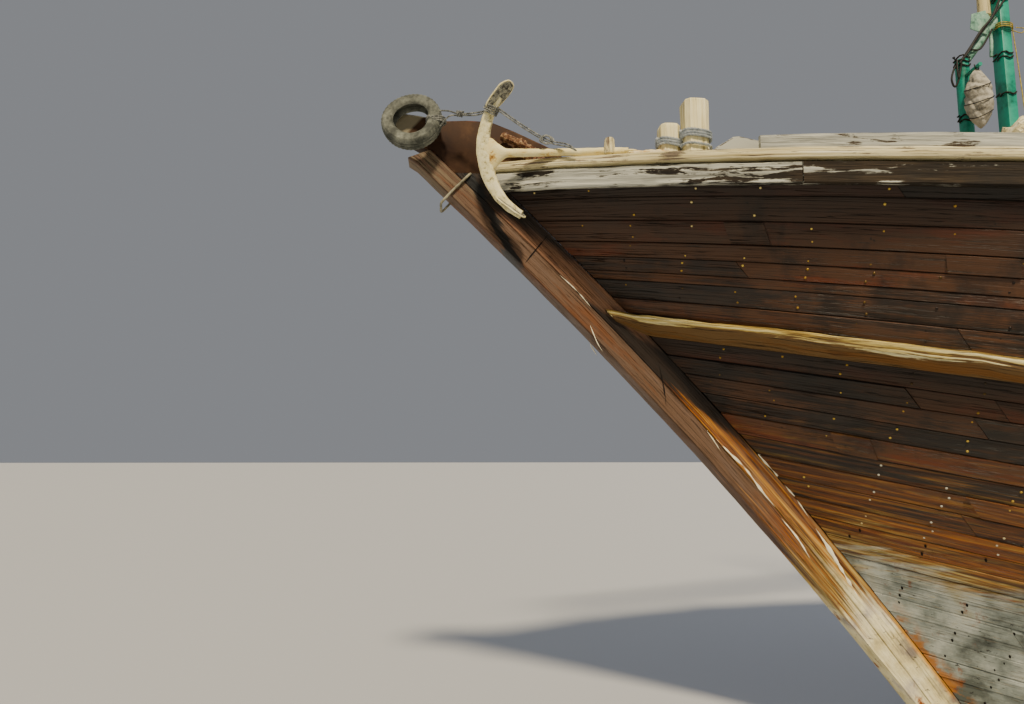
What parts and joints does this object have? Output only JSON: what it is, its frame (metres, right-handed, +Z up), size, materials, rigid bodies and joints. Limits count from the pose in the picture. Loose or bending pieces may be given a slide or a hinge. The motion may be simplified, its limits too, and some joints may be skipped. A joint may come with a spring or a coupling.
{
  "type": "dhow sailing boat",
  "caption": "Wooden double-ended trading dhow afloat: raked stem, planked hull, wale and rail, bow bitts, anchor, tyre fender, raked mast with furled lateen yard, wheelhouse, rudder, propeller.",
  "frame": {"origin": "on the centreline amidships, at the water surface", "axes": "+X forward to the bow, +Y to port, +Z up"},
  "size_m": [25.5267, 7.67, 20.3753],
  "materials": {
    "lime_paint": "lime-washed antifouling, matte",
    "teak": "oiled teak planks",
    "stem_wood": "oiled hardwood, split",
    "wale_wood": "worn bare timber",
    "rail_paint": "weathered cream paint",
    "deck_wood": "scrubbed planks",
    "house_paint": "painted boards",
    "spar_wood": "oiled pole",
    "anchor_paint": "cream paint over pitted iron",
    "teal_paint": "gloss teal paint",
    "steel": "sooty steel",
    "bronze": "cast bronze",
    "tyre_rubber": "dusty rubber",
    "canvas": "weathered canvas",
    "rope": "grey fibre rope"
  },
  "bodies": {
    "hull": {"hull_bottom": "lime_paint", "hull_topsides": "teak", "keel": "stem_wood", "stem": "stem_wood", "false_stem": "stem_wood", "stem_head": "stem_wood", "sternpost": "stem_wood", "bulwark_port": "teak", "bulwark_starboard": "teak", "cap_rail_port": "rail_paint", "cap_rail_starboard": "rail_paint", "wale_port": "wale_wood", "wale_starboard": "wale_wood", "deck": "deck_wood", "wheelhouse_front": "house_paint", "wheelhouse_back": "house_paint", "wheelhouse_side_port": "house_paint", "wheelhouse_side_starboard": "house_paint", "wheelhouse_roof": "house_paint", "wheelhouse_floor": "deck_wood", "helm_stand": "spar_wood", "bow_bitt_tall_port": "rail_paint", "bow_bitt_tall_starboard": "rail_paint", "bow_bitt_short_port": "rail_paint", "bow_bitt_short_starboard": "rail_paint", "anchor": "anchor_paint", "tyre_fender": "tyre_rubber", "windlass_frame": "spar_wood", "foredeck_post_frame": "teal_paint", "lamp_pole": "spar_wood", "canvas_bundle": "canvas", "mast": "spar_wood", "mast_bed": "stem_wood", "halyard_fall": "rope", "shrouds": "rope", "hatch_coaming": "spar_wood", "hatch_cover": "canvas", "exhaust_pipe": "steel", "stern_bitts": "spar_wood", "stern_privy": "house_paint"},
    "rudder": {"rudder": "teak"},
    "helm": {"helm_wheel": "spar_wood"},
    "propeller": {"propeller": "bronze"},
    "windlass": {"windlass_barrel": "spar_wood"},
    "door_port": {"door_port": "house_paint"},
    "door_starboard": {"door_starboard": "house_paint"},
    "yard": {"yard": "spar_wood", "parrel": "rope", "furled_sail": "canvas"}
  },
  "joints": [
    {"name": "rudder_swing", "type": "hinge", "parent": "hull", "child": "rudder", "pos_m": [-9.77, 0, -1.75], "axis": [-0.3387, 0, 0.9409], "range_deg": [-35, 35]},
    {"name": "helm_turn", "type": "hinge", "parent": "hull", "child": "helm", "pos_m": [-6.67, 0, 4.725], "axis": [1, 0, 0], "range_deg": [-355, 355]},
    {"name": "propeller_spin", "type": "hinge", "parent": "hull", "child": "propeller", "pos_m": [-10.24, 0, -1.1], "axis": [1, 0, 0], "continuous": true},
    {"name": "windlass_turn", "type": "hinge", "parent": "hull", "child": "windlass", "pos_m": [8.3, 0, 4.8919], "axis": [0, 1, 0], "continuous": true},
    {"name": "door_port_swing", "type": "hinge", "parent": "hull", "child": "door_port", "pos_m": [-6.22, 1.514, 4], "axis": [0, 0, -1], "range_deg": [0, 95]},
    {"name": "door_starboard_swing", "type": "hinge", "parent": "hull", "child": "door_starboard", "pos_m": [-6.22, -1.514, 4], "axis": [0, 0, 1], "range_deg": [0, 95]},
    {"name": "yard_swing", "type": "hinge", "parent": "hull", "child": "yard", "pos_m": [2.6, 0, 3.6413], "axis": [0.1392, 0, 0.9903], "range_deg": [-20, 20]}
  ],
  "couplings": [
    {"joint": "helm_turn", "follows": "rudder_swing", "ratio": 10}
  ]
}
